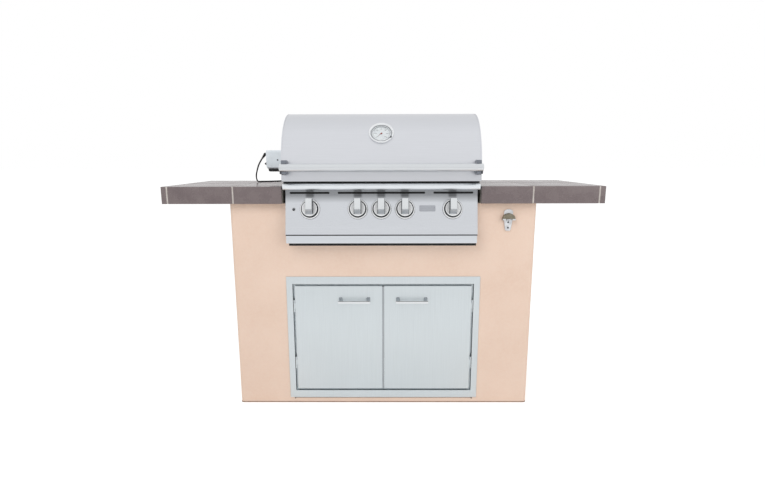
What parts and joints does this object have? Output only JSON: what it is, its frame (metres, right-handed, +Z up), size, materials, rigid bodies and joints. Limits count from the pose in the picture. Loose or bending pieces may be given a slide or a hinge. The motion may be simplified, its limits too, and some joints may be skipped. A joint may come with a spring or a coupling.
{
  "type": "outdoor kitchen island",
  "caption": "Stuccoed outdoor kitchen island with a tiled overhanging counter, a built-in gas grill with roll-top hood and rotisserie motor, access doors and a bottle opener.",
  "frame": {"origin": "middle of the whole part's box, on the ground", "axes": "+X to the right as seen from the front, along the counter; +Y from the front to the back; +Z up"},
  "size_m": [1.832, 0.737, 1.272],
  "materials": {
    "stucco": "rough hand-textured stucco, matt",
    "stud_metal": "plain mill finish",
    "backer_board": "bare cement board",
    "tile": "unglazed matt porcelain, mottled",
    "stainless": "brushed stainless steel",
    "knob_metal": "brushed, stainless look",
    "bar_metal": "brushed, stainless look",
    "dark_metal": "dark grey satin",
    "motor_shell": "brushed, stainless look",
    "grate_metal": "satin stainless steel",
    "cast_metal": "nickel-plated casting, satin",
    "chromed": "polished chrome plate",
    "black_plastic": "black, matt",
    "cord_rubber": "black, matt",
    "needle_paint": "red, matt"
  },
  "bodies": {
    "island": {"front_wall": "stucco", "back_wall": "stucco", "left_wall": "stucco", "right_wall": "stucco", "stud_frame": "stud_metal", "counter_deck": "backer_board", "counter_tiles": "tile", "edge_tiles_front_left": "tile", "edge_tiles_front_right": "tile", "edge_tiles_rear": "tile", "door_surround": "stainless", "control_panel": "stainless", "gas_manifold": "grate_metal", "front_bullnose": "bar_metal", "tray_rail_left": "stainless", "tray_rail_right": "stainless", "firebox": "stainless", "burner_1": "stainless", "burner_2": "stainless", "burner_3": "stainless", "burner_4": "stainless", "heat_plate_1": "dark_metal", "heat_plate_2": "dark_metal", "heat_plate_3": "dark_metal", "heat_plate_4": "dark_metal", "grate_1": "grate_metal", "grate_2": "grate_metal", "grate_3": "grate_metal", "rear_burner": "dark_metal", "warming_rack": "chromed", "hood_hinge_pin_left": "chromed", "hood_hinge_pin_right": "chromed", "motor_housing": "motor_shell", "motor_base": "black_plastic", "motor_bracket": "stainless", "cord_lead": "cord_rubber", "cord_coil": "cord_rubber", "cord_tail": "cord_rubber", "cord_gland": "cord_rubber", "plug": "cord_rubber", "bottle_opener": "cast_metal"},
    "hood": {"hood_shell": "stainless", "hood_handle": "bar_metal", "handle_bracket_left": "dark_metal", "handle_bracket_right": "dark_metal", "thermometer_case": "stainless"},
    "needle": {"thermometer_needle": "needle_paint"},
    "left_door": {"door_left": "stainless", "door_handle_left": "stainless"},
    "right_door": {"door_right": "stainless", "door_handle_right": "stainless"},
    "tray": {"drip_tray": "stainless"},
    "spit": {"spit_rod": "chromed"},
    "button": {"light_button": "chromed"},
    "toggle": {"motor_switch": "black_plastic"},
    "knob_1_body": {"knob_1": "knob_metal"},
    "knob_2_body": {"knob_2": "knob_metal"},
    "knob_3_body": {"knob_3": "knob_metal"},
    "knob_4_body": {"knob_4": "knob_metal"},
    "knob_5_body": {"knob_5": "knob_metal"}
  },
  "joints": [
    {"name": "hood_hinge", "type": "hinge", "parent": "island", "child": "hood", "pos_m": [-0.006, 0.1815, 1], "axis": [-1, 0, 0], "range_deg": [0, 85]},
    {"name": "thermometer_needle_turn", "type": "hinge", "parent": "hood", "child": "needle", "pos_m": [-0.006, -0.24818, 1.184], "axis": [0, 0.7714, -0.6364], "range_deg": [0, 270], "stiffness_Nm_per_rad": 0.0002},
    {"name": "left_door_hinge", "type": "hinge", "parent": "island", "child": "left_door", "pos_m": [-0.38775, -0.2644, 0.3], "axis": [0, 0, -1], "range_deg": [0, 110]},
    {"name": "right_door_hinge", "type": "hinge", "parent": "island", "child": "right_door", "pos_m": [0.38775, -0.2644, 0.3], "axis": [0, 0, 1], "range_deg": [0, 110]},
    {"name": "drip_tray_slide", "type": "slide", "parent": "island", "child": "tray", "axis": [0, -1, 0], "range_m": [0, 0.3]},
    {"name": "spit_turn", "type": "hinge", "parent": "island", "child": "spit", "pos_m": [-0.006, -0.0705, 1.062], "axis": [1, 0, 0], "continuous": true},
    {"name": "light_button_push", "type": "slide", "parent": "island", "child": "button", "axis": [0, 0.9752, -0.2214], "range_m": [0, 0.0025], "stiffness_N_per_m": 400},
    {"name": "motor_switch_push", "type": "slide", "parent": "island", "child": "toggle", "axis": [1, 0, 0], "range_m": [0, 0.003], "stiffness_N_per_m": 400},
    {"name": "knob_1_turn", "type": "hinge", "parent": "island", "child": "knob_1_body", "pos_m": [-0.30211, -0.29701, 0.8765], "axis": [0, -0.9752, 0.2214], "range_deg": [0, 120]},
    {"name": "knob_2_turn", "type": "hinge", "parent": "island", "child": "knob_2_body", "pos_m": [-0.10391, -0.29701, 0.8765], "axis": [0, -0.9752, 0.2214], "range_deg": [0, 120]},
    {"name": "knob_3_turn", "type": "hinge", "parent": "island", "child": "knob_3_body", "pos_m": [-0.007, -0.29701, 0.8765], "axis": [0, -0.9752, 0.2214], "range_deg": [0, 120]},
    {"name": "knob_4_turn", "type": "hinge", "parent": "island", "child": "knob_4_body", "pos_m": [0.09111, -0.29701, 0.8765], "axis": [0, -0.9752, 0.2214], "range_deg": [0, 120]},
    {"name": "knob_5_turn", "type": "hinge", "parent": "island", "child": "knob_5_body", "pos_m": [0.28812, -0.29701, 0.8765], "axis": [0, -0.9752, 0.2214], "range_deg": [0, 120]}
  ]
}
